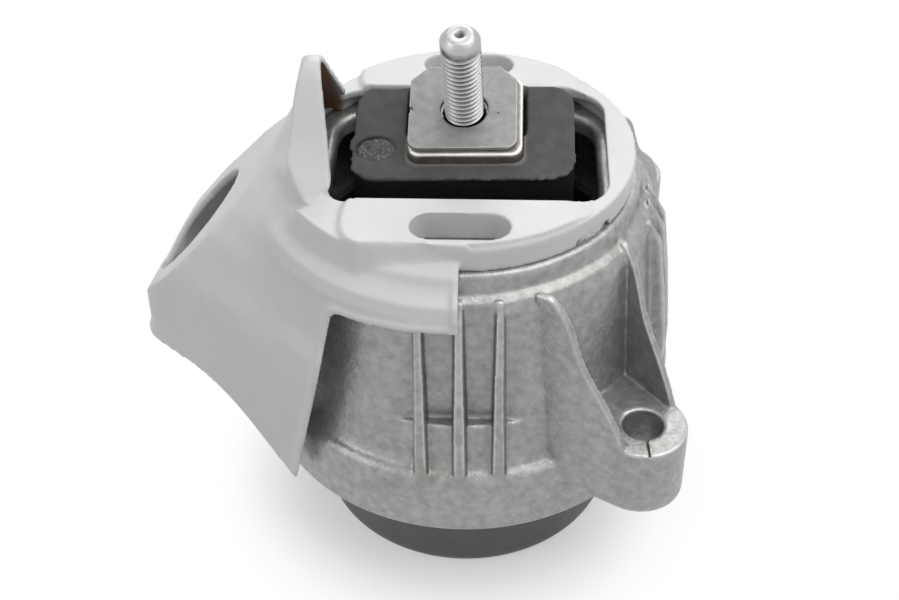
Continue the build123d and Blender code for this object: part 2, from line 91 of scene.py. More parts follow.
# The head of the core under the plate, as limits in the stud's frame
HEAD_LEFT, HEAD_RIGHT = -14.0, 14.8
HEAD_FRONT, HEAD_BACK = -14.0, 14.3
HEAD_CORNER = 2.0

# Rubber block: top in the stud's frame, half width, front and back limits, corner radius
RUBBER_TOP = -4.9
BUFFER_HALF = 28.0
BUFFER_FRONT, BUFFER_BACK = -16.2, 12.6
BUFFER_CORNER = 6.0

# Lip and torn gap round the head, and the oval gate mark in the block's top
LIP_HEIGHT = 0.55
GAP_DEPTH = 2.4
GATE_X, GATE_Y = -22.2, -6.9
GATE_RADIUS = 4.6
GATE_LONG, GATE_SHORT = 1.08, 0.8

# Front lug: direction and reach from the housing's axis, top, hole and boss radius, slit's direction
LUG_ANGLE = math.radians(-46.4)
LUG_REACH = 67.4
LUG_TOP = 64.5
LUG_HOLE = 5.25
LUG_BOSS = 11.5
SLIT_ANGLE = math.radians(-84.5)

# Ring of the shield: its outer radius and top, and the top, limits and corner of the pads on it
RING_RADIUS = 44.0
RING_TOP = 116.0
PAD_TOP = 117.5
PAD_LEFT, PAD_RIGHT = -29.3, 60.0
PAD_OUTER, PAD_INNER = 44.3, 21.0
PAD_CORNER = 9.0

# Flat foot of the shield's arch beside the front pad: its front limit and reach
FOOT_FRONT = 43.7
FOOT_REACH = 50.0

# Pairs of where a form starts and where it is full: x where the pads sink into the ring at the
# right, the two ends of the foot and the left end of the skirt's groove as angles in degrees, the
# two sides of the groove as radii, and the height of the skirt that it is pressed into
PAD_SINKS = (34, 25)
FOOT_LEFT, FOOT_RIGHT = (-152, -143), (-90, -98)
GROOVE_LEFT = (-160, -146)
GROOVE_INNER, GROOVE_OUTER = (48.6, 49.8), (54.6, 50.6)
GROOVE_LEVEL = (103.5, 106)
GROOVE_DEPTH = 1.1

# The doorway's plane, the middle line of the hood's inside, and where its brown fades in x, y, z
DOOR_X = -32.0
HOOD_TOP, HOOD_FOOT = (-40.0, 0.0, 118.0), (-66.0, 11.6, 66.0)
BROWN_LEFT, BROWN_RIGHT = (-60, -52), (DOOR_X - 0.5, DOOR_X - 3.0)
BROWN_FRONT, BROWN_BACK = (-18, -14), (28, 26)
BROWN_LEVEL = (96, 104)

# Dark speck on the hood's slope
SPECK_PLACE = (-55.9, -24.3, 58.0)

# Floor: how far it lies under the cup, and the reach of the shadow that it keeps
FLOOR_DROP = 0.05
SHADOW_FULL, SHADOW_GONE = 42, 78


# Settings that a user can change

def linear(colour):
    """An sRGB hex colour as linear red, green, blue and alpha."""
    channels = [int(colour[i:i + 2], 16) / 255 for i in (1, 3, 5)]
    return [c / 12.92 if c <= 0.04045 else ((c + 0.055) / 1.055) ** 2.4 for c in channels] + [1]


def colour_setting(name, description, colour):
    """A colour that the user can change, from its sRGB hex value."""
    return FloatVectorProperty(
        name=name, description=description, subtype="COLOR", size=4, min=0, max=1,
        default=linear(colour),
    )


def length_setting(name, description, size):
    """A length that the user can change, given in millimetres."""
    return FloatProperty(
        name=name, description=description, subtype="DISTANCE", unit="LENGTH",
        precision=5, min=0, default=size * MM,
    )


class ShieldSettings(bpy.types.PropertyGroup):
    """Looks of the moulded heat shield."""
    grid: length_setting("Face size", "Size of the shield's faces before they are thinned out", 0.5)
    softening: IntProperty(
        name="Softening", description="How far the skirt's steps flow into each other",
        default=60, min=0, max=200,
    )
    plastic: colour_setting("Plastic", "Colour of the moulded plastic", "#D2D4D3")
    inside: colour_setting("Inside", "Heat-browned inside of the hood", "#7D5A3C")


class CastingSettings(bpy.types.PropertyGroup):
    """Looks of the die-cast housing."""
    grid: length_setting("Face size", "Size of the casting's faces before they are thinned out", 0.44)
    metal: colour_setting("Aluminium", "Colour of the as-cast skin", "#AFAFAD")
    stain: colour_setting("Stain", "Colour of the release-agent stains", "#7C7975")
    slit_width: length_setting("Slit width", "Width of the slit in the front lug", 1.3)
    slit_depth: length_setting("Slit depth", "Depth of the slit in the front lug", 2.2)


class StudSettings(bpy.types.PropertyGroup):
    """Looks of the stud, the plate and the core."""
    pitch: length_setting("Pitch", "Distance from one thread to the next", 1.5)
    depth: length_setting("Thread depth", "How deep the thread is cut", 0.92)
    zinc: colour_setting("Zinc", "Colour of the plated stud", "#B4B5B4")
    plate: colour_setting("Plate", "Colour of the pressed plate", "#9A9B99")
    core: colour_setting("Core", "Colour of the core's head", "#928E87")


class RubberSettings(bpy.types.PropertyGroup):
    """Looks of the rubber block."""
    grid: length_setting("Face size", "Size of the rubber block's faces", 0.4)
    flash: length_setting("Flash", "How far the ragged flash stands out from the block", 1.1)
    top: colour_setting("Top", "Colour of the bloomed top", "#565658")
    # The side colour is darker than the rubber itself: the sides carry painted shade.
    side: colour_setting("Side", "Colour of the moulded sides", "#080807")


class CupSettings(bpy.types.PropertyGroup):
    """Looks of the cup and of the parts inside."""
    coat: colour_setting("Coat", "Colour of the dark coated cup", "#5F5F5F")
    hidden_rubber: colour_setting("Inner rubber", "Colour of the spring and the bellows", "#222222")


class StageSettings(bpy.types.PropertyGroup):
    """Floor, light and camera."""
    floor: length_setting("Floor", "Width of the floor", 6000.0)
    sky: FloatProperty(name="Sky", description="Strength of the plain light all round", default=0.5, min=0)
    key: FloatProperty(
        name="Key", description="Power of the soft box overhead on the right", subtype="POWER",
        unit="POWER", default=4.5, min=0,
    )
    fill: FloatProperty(
        name="Fill", description="Power of the soft box on the left", subtype="POWER",
        unit="POWER", default=1.2, min=0,
    )
    back: FloatProperty(
        name="Back", description="Power of the soft box behind", subtype="POWER",
        unit="POWER", default=2.4, min=0,
    )


# Meshes

def smoothstep(low, high, value):
    """0 below low, 1 above high, and a soft turn between; works on arrays too."""
    share = np.clip((value - low) / (high - low), 0, 1)
    return share * share * (3 - 2 * share)


def link_piece(name, mesh):
    """A new object for a mesh, in the scene's collection."""
    piece = bpy.data.objects.new(name, mesh)
    bpy.context.scene.collection.objects.link(piece)
    return piece


def copy_node(node, name):
    """A welded copy of one CAD node's mesh, with no material."""
    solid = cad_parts[node]
    mesh = solid.data.copy()
    mesh.name = name
    mesh.transform(solid.matrix_world)
    mesh.materials.clear()
    work = bmesh.new()
    work.from_mesh(mesh)
    bmesh.ops.remove_doubles(work, verts=work.verts, dist=WELD)
    work.to_mesh(mesh)
    work.free()
    return link_piece(name, mesh)


def apply_modifiers(piece):
    """Turns the piece's modifiers into plain mesh."""
    graph = bpy.context.evaluated_depsgraph_get()
    mesh = bpy.data.meshes.new_from_object(piece.evaluated_get(graph))
    old = piece.data
    mesh.name = piece.name
    piece.modifiers.clear()
    piece.data = mesh
    if old.users == 0:
        bpy.data.meshes.remove(old)


def even_mesh(piece, size):
    """Gives the piece even small faces, so that its edges can be rounded."""
    modifier = piece.modifiers.new("Even faces", "REMESH")
    modifier.mode = "VOXEL"
    modifier.voxel_size = size
    apply_modifiers(piece)


def thin_out(piece, faces):
    """Brings the piece down to about this many triangles, keeping its curved places fine."""
    piece.data.calc_loop_triangles()
    count = len(piece.data.loop_triangles)
    if count > faces:
        modifier = piece.modifiers.new("Fewer faces", "DECIMATE")
        modifier.ratio = faces / count
        apply_modifiers(piece)


def points_of(mesh):
    """The mesh's points in millimetres, one row each."""
    flat = np.empty(len(mesh.vertices) * 3, np.float32)
    mesh.vertices.foreach_get("co", flat)
    return flat.reshape(-1, 3).astype(float) / MM


def set_points(mesh, points):
    """Puts points given in millimetres back into the mesh."""
    mesh.vertices.foreach_set("co", (points * MM).astype(np.float32).ravel())
    mesh.update()


def normals_of(mesh):
    """The mesh's point normals, one row each."""
    flat = np.empty(len(mesh.vertices) * 3, np.float32)
    mesh.vertex_normals.foreach_get("vector", flat)
    return flat.reshape(-1, 3).astype(float)


def neighbour_mean(mesh):
    """A function that averages values over each point's neighbours."""
    ends = np.empty(len(mesh.edges) * 2, np.int32)
    mesh.edges.foreach_get("vertices", ends)
    one, two = ends[0::2], ends[1::2]
    size = len(mesh.vertices)
    count = np.bincount(one, minlength=size) + np.bincount(two, minlength=size)

    def mean(values):
        total = np.empty_like(values)
        for i in range(values.shape[1]):
            total[:, i] = np.bincount(one, values[two, i], size)
            total[:, i] += np.bincount(two, values[one, i], size)
        return total / np.maximum(count, 1)[:, None]

    return mean


def relax(piece, passes, softness=None):
    """Rounds edges and corners. softness gives each point its share of every pass."""
    mesh = piece.data
    points = points_of(mesh)
    mean = neighbour_mean(mesh)
    share = 0.5 if softness is None else 0.5 * softness[:, None]
    for _ in range(passes):
        points += share * (mean(points) - points)
    set_points(mesh, points)


def standing_proud(mesh, passes):
    """How far in millimetres each point stands out of its surroundings; hollows are negative."""
    points, normals = points_of(mesh), normals_of(mesh)
    mean = neighbour_mean(mesh)
    around = points
    for _ in range(passes):
        around = mean(around)
    proud = ((points - around) * normals).sum(1)
    return mean(proud[:, None])[:, 0]


def store(mesh, name, values):
    """Keeps one number for each point as an attribute that materials can read."""
    attribute = mesh.attributes.new(name, "FLOAT", "POINT")
    attribute.data.foreach_set("value", values.astype(np.float32))


def store_edges(mesh, reach, passes=6):
    """Stores edges as 1, flats as 0.5 and hollows as 0 for the materials: rubbed edges with painted
    highlight, and painted shade in hollows.
    """
    store(mesh, "edge", np.clip(0.5 + standing_proud(mesh, passes) / reach, 0, 1))


def lumps(points, size, seed):
    """Smooth noise from -1 to 1 at each point, with lumps of this many millimetres."""
    shift = Vector((seed * 17.3, seed * 5.1, seed * 29.7))
    return np.array([noise.noise(Vector(point) / size + shift) for point in points])


def settle(piece, material, slot, *nodes):
    """Last steps for a piece: material, shading and body, and hides the nodes it replaces; slot is not
    used.
    """
    piece.data.materials.clear()
    piece.data.materials.append(material)
    piece.data.polygons.foreach_set("use_smooth", [True] * len(piece.data.polygons))
    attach(piece, "root")
    if nodes:
        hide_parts(*nodes)


# Materials

def add_node(tree, kind, settings=None, links=None):
    """Adds one node with its settings (properties or sockets) and its links."""
    node = tree.nodes.new(kind)
    for key, value in (settings or {}).items():
        if isinstance(key, str) and hasattr(node, key):
            setattr(node, key, value)
        else:
            node.inputs[key].default_value = value
    for key, source in (links or {}).items():
        tree.links.new(source, node.inputs[key])
    return node


def blank(name):
    """A new material with an empty node tree."""
    material = bpy.data.materials.new(name)
    material.use_nodes = True
    material.node_tree.nodes.clear()
    return material, material.node_tree


def close(tree, settings, links):
    """Ends a material's tree with its shader and output."""
    shader = add_node(tree, "ShaderNodeBsdfPrincipled", settings, links)
    add_node(tree, "ShaderNodeOutputMaterial", None, {"Surface": shader.outputs["BSDF"]})


def patches(tree, size, low, high, detail=3.0):
    """A number from low to high in soft patches about this many millimetres across."""
    place = add_node(tree, "ShaderNodeTexCoord").outputs["Object"]
    cloud = add_node(
        tree, "ShaderNodeTexNoise",
        {"Scale": 1 / (size * MM), "Detail": detail, "Roughness": 0.6}, {"Vector": place},
    ).outputs["Fac"]
    return add_node(
        tree, "ShaderNodeMapRange",
        {"From Min": 0.3, "From Max": 0.7, "To Min": low, "To Max": high}, {"Value": cloud},
    ).outputs["Result"]


def darker(colour, share):
    """The colour with its light taken down to this share."""
    return [share * c for c in colour[:3]] + [1]


def mottled(tree, dark, light, size, detail):
    """A colour between dark and light, in soft patches about this many millimetres across."""
    return add_node(
        tree, "ShaderNodeMix", {"data_type": "RGBA", 6: dark, 7: light},
        {0: patches(tree, size, 0.0, 1.0, detail)},
    ).outputs[2]


def edge_mask(tree, low, high):
    """The stored edge value as 0 below low and 1 above high."""
    edge = add_node(tree, "ShaderNodeAttribute", {"attribute_name": "edge"}).outputs["Fac"]
    return add_node(
        tree, "ShaderNodeMapRange", {"From Min": low, "From Max": high}, {"Value": edge},
    ).outputs["Result"]


def grain(tree, coarse, fine, depth):
    """Bump from two sizes of lumps in millimetres, as deep as depth millimetres."""
    height = add_node(
        tree, "ShaderNodeMath", {"operation": "MULTIPLY_ADD", 1: 0.5},
        {0: patches(tree, fine, 0.0, 1.0, 2.0), 2: patches(tree, coarse, 0.0, 1.0, 4.0)},
    ).outputs[0]
    return add_node(
        tree, "ShaderNodeBump", {"Strength": 1.0, "Distance": depth * MM}, {"Height": height},
    ).outputs["Normal"]


def die_cast_aluminium(look):
    """As-cast skin: matte grey with cloudy release stains, fine grain, painted shade in the hollows, and
    edges painted bright, part rubbed wear and part painted highlight.
    """
    material, tree = blank("Die-cast aluminium")
    skin = mottled(tree, darker(look.metal, 0.64), look.metal, 2.6, 8.0)
    stains = add_node(
        tree, "ShaderNodeMapRange", {"From Min": 0.72, "From Max": 1.0, "To Max": 0.45},
        {"Value": patches(tree, 14.0, 0.0, 1.0, 6.0)},
    ).outputs["Result"]
    stained = add_node(
        tree, "ShaderNodeMix", {"data_type": "RGBA", 7: look.stain}, {0: stains, 6: skin},
    ).outputs[2]
    # Painted shade: hollows are darkened towards #6A6763 for the shade that falls in them.
    painted_hollow_shade = add_node(
        tree, "ShaderNodeMath", {"operation": "MULTIPLY", 1: 0.25}, {0: edge_mask(tree, 0.42, 0.2)},
    ).outputs[0]
    hollow = add_node(
        tree, "ShaderNodeMix", {"data_type": "RGBA", 7: linear("#6A6763")}, {0: painted_hollow_shade, 6: stained},
    ).outputs[2]
    # Edges are painted lighter towards #CFD0D0: partly rubbed wear, partly a painted highlight on their
    # rounding.
    bright = add_node(
        tree, "ShaderNodeMix", {"data_type": "RGBA", 7: linear("#CFD0D0")},
        {0: edge_mask(tree, 0.68, 0.95), 6: hollow},
    ).outputs[2]
    close(tree, {"Metallic": 0.58}, {
        "Base Color": bright,
        "Roughness": patches(tree, 2.4, 0.26, 0.42),
        "Normal": grain(tree, 1.8, 0.5, 0.06),
    })
    return material


def moulded_polyamide(look):
    """Glass-filled polyamide, moulded: pale grey, satin, faint flow clouds and a very fine skin."""
    material, tree = blank("Moulded polyamide")
    tone = mottled(tree, darker(look.plastic, 0.93), look.plastic, 22.0, 3.0)
    inside = add_node(tree, "ShaderNodeAttribute", {"attribute_name": "inside"}).outputs["Fac"]
    browned = add_node(
        tree, "ShaderNodeMix", {"data_type": "RGBA", 7: look.inside}, {0: inside, 6: tone},
    ).outputs[2]
    spot = add_node(tree, "ShaderNodeAttribute", {"attribute_name": "speck"}).outputs["Fac"]
    specked = add_node(
        tree, "ShaderNodeMix", {"data_type": "RGBA", 7: linear("#4A4A46")}, {0: spot, 6: browned},
    ).outputs[2]
    close(tree, {"IOR": 1.53, "Specular IOR Level": 0.5}, {
        "Base Color": specked,
        "Roughness": patches(tree, 6.0, 0.40, 0.50),
        "Normal": grain(tree, 2.4, 0.5, 0.012),
    })
    return material


def zinc_plated_steel(look):
    """Rolled thread with bright zinc: clear highlights, and painted shade in the thread's roots and the
    tip's dimple.
    """
    material, tree = blank("Zinc-plated steel")
    # Painted shade: the roots and the dimple are darkened towards #4B4B49 by the stored root value.
    root = add_node(tree, "ShaderNodeAttribute", {"attribute_name": "root"}).outputs["Fac"]
    tone = add_node(
        tree, "ShaderNodeMix", {"data_type": "RGBA", 6: look.zinc, 7: linear("#4B4B49")}, {0: root},
    ).outputs[2]
    close(tree, {"Metallic": 1.0}, {
        "Base Color": tone,
        "Roughness": patches(tree, 1.2, 0.30, 0.44),
        "Normal": grain(tree, 0.9, 0.3, 0.02),
    })
    return material


def pressed_steel_plate(look):
    """Pressed steel, tumbled and matte: mottled grey with small dents, a pit painted as a dark spot of
    shade, and edges painted lighter, partly rubbed and partly as a painted highlight.
    """
    material, tree = blank("Pressed steel")
    tone = mottled(tree, darker(look.plate, 0.74), look.plate, 2.6, 5.0)
    # Painted shade: the pit is only a dark spot of colour towards #3C3B38.
    spot = add_node(tree, "ShaderNodeAttribute", {"attribute_name": "speck"}).outputs["Fac"]
    pit_shaded = add_node(
        tree, "ShaderNodeMix", {"data_type": "RGBA", 7: linear("#3C3B38")}, {0: spot, 6: tone},
    ).outputs[2]
    # Edges away from the stud are painted lighter towards #C8C9C7: partly rubbed, partly a painted
    # highlight.
    lightened_edges = add_node(
        tree, "ShaderNodeMix", {"data_type": "RGBA", 7: linear("#C8C9C7")},
        {0: edge_mask(tree, 0.66, 0.92), 6: pit_shaded},
    ).outputs[2]
    close(tree, {"Metallic": 0.5}, {
        "Base Color": lightened_edges,
        "Roughness": patches(tree, 1.8, 0.5, 0.64),
        "Normal": grain(tree, 1.5, 0.5, 0.035),
    })
    return material


def cast_core_metal(look):
    """Cast core, brown-grey from bonding agent on its sides, bright where its edge is rubbed."""
    material, tree = blank("Cast core")
    tone = mottled(tree, linear("#77706A"), look.core, 3.0, 4.0)
    lightened_edges = add_node(
        tree, "ShaderNodeMix", {"data_type": "RGBA", 7: linear("#E0DFDA")},
        {0: edge_mask(tree, 0.6, 0.8), 6: tone},
    ).outputs[2]
    close(tree, {"Metallic": 0.85}, {
        "Base Color": lightened_edges,
        "Roughness": patches(tree, 2.0, 0.36, 0.55),
        "Normal": grain(tree, 1.8, 0.5, 0.04),
    })
    return material


def moulded_rubber(look):
    """Natural rubber with carbon black: a grey bloom with specks on top, the sides painted near black as
    shade, and painted shade in the torn gaps and round the gate mark's rim.
    """
    material, tree = blank("Moulded rubber")
    top = add_node(tree, "ShaderNodeAttribute", {"attribute_name": "top"}).outputs["Fac"]
    rough_spot = add_node(tree, "ShaderNodeAttribute", {"attribute_name": "gate"}).outputs["Fac"]
    bloom = mottled(tree, darker(look.top, 0.72), look.top, 5.0, 5.0)
    # The top gets the grey bloom; the sides get the near-black side colour, which is painted shade.
    tone = add_node(
        tree, "ShaderNodeMix", {"data_type": "RGBA", 6: look.side}, {0: top, 7: bloom},
    ).outputs[2]
    flecks = add_node(
        tree, "ShaderNodeMath", {"operation": "MULTIPLY"},
        {0: rough_spot, 1: patches(tree, 0.6, -1.5, 0.8, 2.0)},
    )
    flecks.use_clamp = True
    flecked = add_node(
        tree, "ShaderNodeMix", {"data_type": "RGBA", 7: linear("#9C9B97")},
        {0: flecks.outputs[0], 6: tone},
    ).outputs[2]
    # Painted shade: the torn gaps and the gate mark's rim are darkened towards #151514.
    mark = add_node(tree, "ShaderNodeAttribute", {"attribute_name": "mark"}).outputs["Fac"]
    gap_shaded = add_node(
        tree, "ShaderNodeMix", {"data_type": "RGBA", 7: linear("#151514")}, {0: mark, 6: flecked},
    ).outputs[2]
    lip = add_node(tree, "ShaderNodeAttribute", {"attribute_name": "lip"}).outputs["Fac"]
    lipped = add_node(
        tree, "ShaderNodeMix", {"data_type": "RGBA", 7: linear("#7F7A74")}, {0: lip, 6: gap_shaded},
    ).outputs[2]
    close(tree, {"IOR": 1.52, "Specular IOR Level": 0.25}, {
        "Base Color": lipped,
        "Roughness": patches(tree, 3.0, 0.62, 0.82),
        "Normal": grain(tree, 1.3, 0.4, 0.05),
    })
    return material


def coated_steel(look):
    """Pressed steel under dark cathodic paint: satin, slightly orange-peeled."""
    material, tree = blank("Dark coated steel")
    tone = mottled(tree, darker(look.coat, 0.8), look.coat, 7.0, 4.0)
    close(tree, {"IOR": 1.5}, {
        "Base Color": tone,
        "Roughness": patches(tree, 4.0, 0.36, 0.5),
        "Normal": grain(tree, 1.8, 0.6, 0.015),
    })
    return material


def inner_rubber(look):
    """Rubber of the spring, membrane and bellows: black with a soft moulded skin."""
    material, tree = blank("Inner rubber")
    tone = mottled(tree, darker(look.hidden_rubber, 0.6), look.hidden_rubber, 6.0, 4.0)
    close(tree, {"IOR": 1.52, "Specular IOR Level": 0.4}, {
        "Base Color": tone,
        "Roughness": patches(tree, 3.0, 0.55, 0.75),
        "Normal": grain(tree, 1.5, 0.5, 0.03),
    })
    return material


def plain_ring_steel():
    """Turned mild steel ring: grey with a light oil film."""
    material, tree = blank("Turned steel")
    tone = mottled(tree, linear("#8E8D8A"), linear("#A9A8A4"), 5.0, 4.0)
    close(tree, {"Metallic": 1.0}, {
        "Base Color": tone,
        "Roughness": patches(tree, 2.0, 0.28, 0.42),
        "Normal": grain(tree, 1.0, 0.35, 0.01),
    })
    return material


def channel_casting():
    """Fluid channel plates: fine die-cast aluminium, clean and even."""
    material, tree = blank("Channel aluminium")
    tone = mottled(tree, linear("#A5A6A6"), linear("#BCBDBD"), 4.0, 4.0)
    close(tree, {"Metallic": 0.95}, {
        "Base Color": tone,
        "Roughness": patches(tree, 2.0, 0.35, 0.48),
        "Normal": grain(tree, 1.2, 0.4, 0.02),
    })
    return material


# Pieces

def hood_inside(points, normals):
    """1 on the browned faces behind the doorway: those that look at the hood's middle line."""
    top, foot = np.array(HOOD_TOP), np.array(HOOD_FOOT)
    run = foot - top
    share = np.clip(((points - top) @ run) / (run @ run), 0, 1)
    inward = top + share[:, None] * run - points
    facing = (inward * normals).sum(1) / np.maximum(np.linalg.norm(inward, axis=1), 1e-6)
    x, y, z = points.T
    within = smoothstep(*BROWN_RIGHT, x) * smoothstep(*BROWN_LEFT, x)
    within *= smoothstep(*BROWN_FRONT, y) * smoothstep(*BROWN_BACK, y)
    within *= smoothstep(*BROWN_LEVEL, z)
    return smoothstep(0.1, 0.3, facing) * within


def shape_ring(points, normals):
    """Moulds the ring's top: pads with round ends, the arch's flat foot and the skirt's groove."""
    x, y, z = points.T
    radius = np.hypot(x, y)
    angle = np.degrees(np.arctan2(y, x))
    outward = normals[:, 2] + (normals[:, 0] * x + normals[:, 1] * y) / np.maximum(radius, 1)
    outer = smoothstep(-0.1, 0.2, outward) * smoothstep(104, 105, z)
    beside = smoothstep(*FOOT_LEFT, angle) * smoothstep(*FOOT_RIGHT, angle)
    beyond = np.maximum(-y - FOOT_FRONT, radius - FOOT_REACH)
    foot = outer * beside * smoothstep(0.5, -0.5, beyond) * (radius > RING_RADIUS - 2)
    z = z + foot * np.maximum(RING_TOP - z, 0)

    pad_gap = rounded_box_gap(x, np.abs(y), PAD_LEFT, PAD_RIGHT, PAD_INNER, PAD_OUTER, PAD_CORNER)
    sinking = smoothstep(*PAD_SINKS, x)
    rise = (PAD_TOP - RING_TOP) * sinking
    on_ring = (z > RING_TOP - 0.35) & (z < PAD_TOP + 0.3) & (x > DOOR_X - 2)
    grown = np.where(pad_gap < 0.3, smoothstep(0.3, -0.3, pad_gap) * rise, 0)
    left_half = on_ring & (x < 2) & (outward > -0.2)
    z = np.where(left_half, RING_TOP + np.maximum(grown, np.minimum(z - RING_TOP, 0)), z)
    right_end = on_ring & (x > 24) & (z > RING_TOP)
    z = np.where(right_end, RING_TOP + (z - RING_TOP) * sinking, z)

    groove = smoothstep(*GROOVE_INNER, radius) * smoothstep(*GROOVE_OUTER, radius)
    groove *= (z < RING_TOP - 1.5) & (angle < 0)
    groove *= smoothstep(*GROOVE_LEVEL, z) * smoothstep(*GROOVE_LEFT, angle)
    return np.stack([x, y, z - GROOVE_DEPTH * groove], 1)


def rim_of(mesh):
    """1 on the rims and lips that stay crisp, 0 on the broad skin."""
    rim = smoothstep(0.10, 0.26, standing_proud(mesh, 12))
    mean = neighbour_mean(mesh)
    for _ in range(3):
        rim = np.maximum(rim, mean(rim[:, None])[:, 0])
    return rim


def make_heat_shield(look):
    """Moulded shield: ring, pads and lips left crisp, the hood's levels flowing into one skin."""
    piece = copy_node("heat_shield", "heat_shield_moulding")
    even_mesh(piece, look.grid)
    mesh = piece.data
    set_points(mesh, shape_ring(points_of(mesh), normals_of(mesh)))
    relax(piece, 3)
    points = points_of(mesh)
    radius = np.hypot(points[:, 0], points[:, 1])
    skin = (1 - rim_of(mesh)) * smoothstep(RING_RADIUS + 0.5, RING_RADIUS + 3, radius)
    hood_side = smoothstep(DOOR_X - 8, DOOR_X - 20, points[:, 0])
    relax(piece, look.softening, skin * hood_side)
    relax(piece, 3, skin)
    thin_out(piece, LARGE_PIECE)
    mesh = piece.data
    points, normals = points_of(mesh), normals_of(mesh)
    store(mesh, "inside", hood_inside(points, normals))
    gap = np.linalg.norm(points - np.array(SPECK_PLACE), axis=1)
    store(mesh, "speck", smoothstep(0.7, 0.3, gap))
    settle(piece, moulded_polyamide(look), "shield_plastic", "heat_shield")


def slit_cutter(look):
    """A wedge from the front lug's hole to the boss's edge, narrower outwards and downwards."""
    half = look.slit_width / MM / 2
    deep = look.slit_depth / MM
    inner, outer = LUG_HOLE - 1.0, LUG_BOSS - 0.3
    narrow, taper = 0.5, 0.6
    corners = [
        (inner, half, 1), (inner, -half, 1), (outer, -half * narrow, 1), (outer, half * narrow, 1),
        (inner, half * taper, -deep), (inner, -half * taper, -deep),
        (outer, -half * narrow * taper, -deep), (outer, half * narrow * taper, -deep),
    ]
    centre = Vector((LUG_REACH * math.cos(LUG_ANGLE), LUG_REACH * math.sin(LUG_ANGLE), LUG_TOP))
    turn = Matrix.Rotation(SLIT_ANGLE, 4, "Z")
    points = [(centre + turn @ Vector(corner)) * MM for corner in corners]
    faces = [(0, 1, 2, 3), (7, 6, 5, 4), (4, 5, 1, 0), (5, 6, 2, 1), (6, 7, 3, 2), (7, 4, 0, 3)]
    mesh = bpy.data.meshes.new("slit_cutter")
    mesh.from_pydata(points, [], faces)
    work = bmesh.new()
    work.from_mesh(mesh)
    bmesh.ops.recalc_face_normals(work, faces=work.faces)
    work.to_mesh(mesh)
    work.free()
    return link_piece("slit_cutter", mesh)


def cut_away(piece, cutter):
    """Takes the cutter's volume out of the piece and removes the cutter."""
    modifier = piece.modifiers.new("Cut", "BOOLEAN")
    modifier.operation = "DIFFERENCE"
    modifier.solver = "EXACT"
    modifier.object = cutter
    apply_modifiers(piece)
    mesh = cutter.data
    bpy.data.objects.remove(cutter)
    bpy.data.meshes.remove(mesh)


def make_casting(look):
    """Casting with rounded as-cast edges and the slit in its front lug."""
    piece = copy_node("die_cast_housing", "die_cast_casting")
    even_mesh(piece, look.grid)
    relax(piece, 5)
    store_edges(piece.data, 0.8, 10)
    thin_out(piece, LARGE_PIECE)
    cut_away(piece, slit_cutter(look))
    piece.data.set_sharp_from_angle(angle=math.radians(70))
    settle(piece, die_cast_aluminium(look), "cast_aluminium", "die_cast_housing")


def thread_rows(look):
    """One turn of the thread as rows of height, radius and depth: root, flank, crest, flank."""
    pitch = look.pitch / MM
    depth = look.depth / MM
    shape = [
        (0.00, 1.0), (0.06, 1.0), (0.12, 0.96), (0.47, 0.10), (0.51, 0.0), (0.59, 0.0),
        (0.63, 0.10), (0.96, 0.90),
    ]
    return [(share * pitch, STUD_RADIUS - drop * depth, drop) for share, drop in shape]


def stud_points(look):
    """The stud's points ring by ring, from its hidden end to its dimple, and how much painted shade each
    gets.
    """
    pitch = look.pitch / MM
    rows = thread_rows(look)
    turns = int((THREAD_STOP - THREAD_START) / pitch) + 3
    points, drops = [], []

    def add_ring(radius, height, drop=0.0):
        for i in range(STUD_STEPS):
            angle = 2 * math.pi * i / STUD_STEPS
            points.append((radius * math.cos(angle), radius * math.sin(angle), height))
            drops.append(drop)

    add_ring(SHANK_RADIUS, THREAD_START - 0.6)
    add_ring(SHANK_RADIUS, THREAD_START - 0.02)
    for turn in range(-1, turns):
        for offset, radius, drop in rows:
            for i in range(STUD_STEPS):
                angle = 2 * math.pi * i / STUD_STEPS
                height = THREAD_START + (turn + i / STUD_STEPS) * pitch + offset
                fade = float(smoothstep(THREAD_STOP, THREAD_STOP - THREAD_RUN_OUT, height))
                held = min(max(height, THREAD_START), THREAD_STOP)
                wide = STUD_RADIUS - (STUD_RADIUS - radius) * fade
                if height <= THREAD_START:
                    wide = SHANK_RADIUS
                points.append((wide * math.cos(angle), wide * math.sin(angle), held))
                drops.append(drop * fade)
    band = STUD_REACH - STUD_CHAMFER
    add_ring(STUD_RADIUS, THREAD_STOP + 0.02)
    add_ring(STUD_RADIUS, band - 0.25)
    add_ring(STUD_RADIUS - 0.12, band + 0.05)
    add_ring(STUD_TIP_RADIUS + 0.2, STUD_REACH - 0.22)
    add_ring(STUD_TIP_RADIUS - 0.15, STUD_REACH - 0.03)
    add_ring(STUD_TIP_RADIUS - 0.6, STUD_REACH)
    # Painted shade deepens towards the dimple's middle.
    for radius, deep, dimple_shade in DIMPLE:
        add_ring(radius, STUD_REACH - deep, dimple_shade)
    return points, drops


